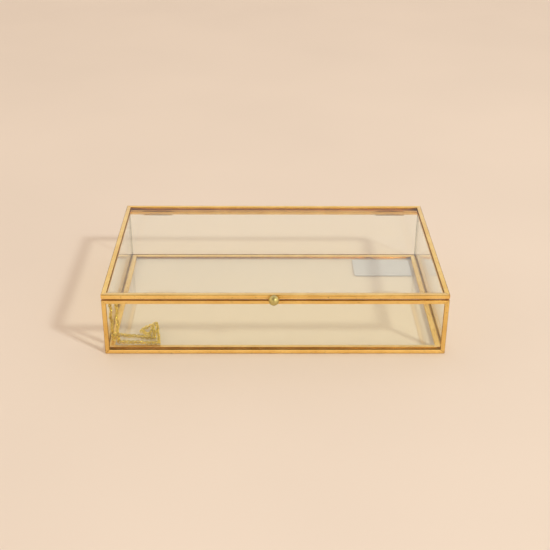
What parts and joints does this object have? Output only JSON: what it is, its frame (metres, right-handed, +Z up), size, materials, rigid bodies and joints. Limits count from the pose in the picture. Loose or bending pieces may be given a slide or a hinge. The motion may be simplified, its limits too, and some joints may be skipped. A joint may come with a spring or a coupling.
{
  "type": "jewelry box",
  "caption": "Low glass jewelry box in a brass came frame, with a hinged glass lid, a ball knob and a fine stay chain.",
  "frame": {"origin": "centre of the footprint at the underside of the bottom rails, where the box stands on a table; the footprint includes the knob in front and the hinge barrels behind", "axes": "+X to the box's right seen from the front, along its length; the front with the knob faces -Y; +Z up"},
  "size_m": [0.32, 0.214, 0.0651],
  "materials": {
    "came_brass": "satin lacquered brass",
    "clear_glass": "clear float glass",
    "label_paper": "plain pale grey paper, blank",
    "hinge_brass": "plain brass sheet",
    "knob_brass": "polished green-gold brass",
    "chain_gold": "bright gold-plated brass chain"
  },
  "bodies": {
    "case": {"front_bottom_rail": "came_brass", "front_top_rail": "came_brass", "front_left_post": "came_brass", "front_right_post": "came_brass", "left_bottom_rail": "came_brass", "right_bottom_rail": "came_brass", "back_bottom_rail": "came_brass", "left_top_rail": "came_brass", "right_top_rail": "came_brass", "back_top_rail": "came_brass", "floor_came_front": "came_brass", "floor_came_right": "came_brass", "floor_came_back": "came_brass", "floor_came_left": "came_brass", "front_glass": "clear_glass", "left_glass": "clear_glass", "right_glass": "clear_glass", "back_glass": "clear_glass", "floor_glass": "clear_glass", "blank_label": "label_paper", "hinge_base_leaf_left": "hinge_brass", "hinge_base_leaf_right": "hinge_brass", "hinge_pin_left": "hinge_brass", "hinge_pin_right": "hinge_brass", "chain_base_eye": "chain_gold"},
    "lid": {"lid_front_rail": "came_brass", "lid_right_rail": "came_brass", "lid_back_rail": "came_brass", "lid_left_rail": "came_brass", "lid_glass": "clear_glass", "hinge_lid_leaf_left": "hinge_brass", "hinge_lid_leaf_right": "hinge_brass", "knob_ball": "knob_brass", "knob_stem": "knob_brass", "chain_lid_eye": "chain_gold"},
    "stay_chain_base_1": {"stay_chain_base_1": "chain_gold"},
    "stay_chain_base_2": {"stay_chain_base_2": "chain_gold"},
    "stay_chain_base_3": {"stay_chain_base_3": "chain_gold"},
    "stay_chain_base_4": {"stay_chain_base_4": "chain_gold"},
    "stay_chain_base_5": {"stay_chain_base_5": "chain_gold"},
    "stay_chain_lid_1": {"stay_chain_lid_1": "chain_gold"},
    "stay_chain_lid_2": {"stay_chain_lid_2": "chain_gold"},
    "stay_chain_lid_3": {"stay_chain_lid_3": "chain_gold"},
    "stay_chain_lid_4": {"stay_chain_lid_4": "chain_gold"},
    "stay_chain_lid_5": {"stay_chain_lid_5": "chain_gold"}
  },
  "joints": [
    {"name": "lid_hinge", "type": "hinge", "parent": "case", "child": "lid", "pos_m": [0, 0.10497, 0.0582], "axis": [-1, 0, 0], "range_deg": [0, 96.16]},
    {"name": "stay_chain_base_1_fold", "type": "hinge", "parent": "case", "child": "stay_chain_base_1", "pos_m": [-0.147, -0.09183, 0.0554], "axis": [0.9982, 0.0529, -0.0275], "range_deg": [0, 128.22], "deforming": ["stay_chain_base_1"]},
    {"name": "stay_chain_base_2_fold", "type": "hinge", "parent": "stay_chain_base_1", "child": "stay_chain_base_2", "pos_m": [-0.1485, -0.08822, 0.0078], "axis": [-0.6495, 0.2426, 0.7206], "range_deg": [0, 145.6], "deforming": ["stay_chain_base_2"]},
    {"name": "stay_chain_base_3_fold", "type": "hinge", "parent": "stay_chain_base_2", "child": "stay_chain_base_3", "pos_m": [-0.11, -0.08762, 0.00595], "axis": [0.2791, 0.376, -0.8836], "range_deg": [0, 106.25], "deforming": ["stay_chain_base_3"]},
    {"name": "stay_chain_base_4_fold", "type": "hinge", "parent": "stay_chain_base_3", "child": "stay_chain_base_4", "pos_m": [-0.116, -0.05022, 0.00595], "axis": [-0.678, 0.2067, -0.7054], "range_deg": [0, 141.93], "deforming": ["stay_chain_base_4"]},
    {"name": "stay_chain_base_5_fold", "type": "hinge", "parent": "stay_chain_base_4", "child": "stay_chain_base_5", "pos_m": [-0.13, -0.06523, 0.00595], "axis": [-0.0257, 0.9991, -0.0337], "range_deg": [0, 176.08], "deforming": ["stay_chain_base_5"]},
    {"name": "stay_chain_lid_1_fold", "type": "hinge", "parent": "lid", "child": "stay_chain_lid_1", "pos_m": [-0.153, -0.09223, 0.0566], "axis": [0.9989, -0.0434, -0.0186], "range_deg": [0, 40.63], "deforming": ["stay_chain_lid_1"]},
    {"name": "stay_chain_lid_2_fold", "type": "hinge", "parent": "stay_chain_lid_1", "child": "stay_chain_lid_2", "pos_m": [-0.1536, -0.08522, 0.008], "axis": [-0.9998, 0.0189, 0.0053], "range_deg": [0, 76.86], "deforming": ["stay_chain_lid_2"]},
    {"name": "stay_chain_lid_3_fold", "type": "hinge", "parent": "stay_chain_lid_2", "child": "stay_chain_lid_3", "pos_m": [-0.1535, -0.07372, 0.007], "axis": [0.3582, 0.3612, 0.8609], "range_deg": [0, 102.16], "deforming": ["stay_chain_lid_3"]},
    {"name": "stay_chain_lid_4_fold", "type": "hinge", "parent": "stay_chain_lid_3", "child": "stay_chain_lid_4", "pos_m": [-0.115, -0.07842, 0.00595], "axis": [-0.3604, -0.358, -0.8613], "range_deg": [0, 114.13], "deforming": ["stay_chain_lid_4"]},
    {"name": "stay_chain_lid_5_fold", "type": "hinge", "parent": "stay_chain_lid_4", "child": "stay_chain_lid_5", "pos_m": [-0.1186, -0.05772, 0.00595], "axis": [0.9813, 0.0123, -0.1923], "range_deg": [0, 176.46], "deforming": ["stay_chain_lid_5"]}
  ],
  "couplings": [
    {"joint": "stay_chain_base_1_fold", "follows": "lid_hinge", "ratio": 1.3332},
    {"joint": "stay_chain_base_2_fold", "follows": "lid_hinge", "ratio": 1.514},
    {"joint": "stay_chain_base_3_fold", "follows": "lid_hinge", "ratio": 1.1048},
    {"joint": "stay_chain_base_4_fold", "follows": "lid_hinge", "ratio": 1.4758},
    {"joint": "stay_chain_base_5_fold", "follows": "lid_hinge", "ratio": 1.8309},
    {"joint": "stay_chain_lid_1_fold", "follows": "lid_hinge", "ratio": 0.42237},
    {"joint": "stay_chain_lid_2_fold", "follows": "lid_hinge", "ratio": 0.79912},
    {"joint": "stay_chain_lid_3_fold", "follows": "lid_hinge", "ratio": 1.0622},
    {"joint": "stay_chain_lid_4_fold", "follows": "lid_hinge", "ratio": 1.1867},
    {"joint": "stay_chain_lid_5_fold", "follows": "lid_hinge", "ratio": 1.8349}
  ]
}
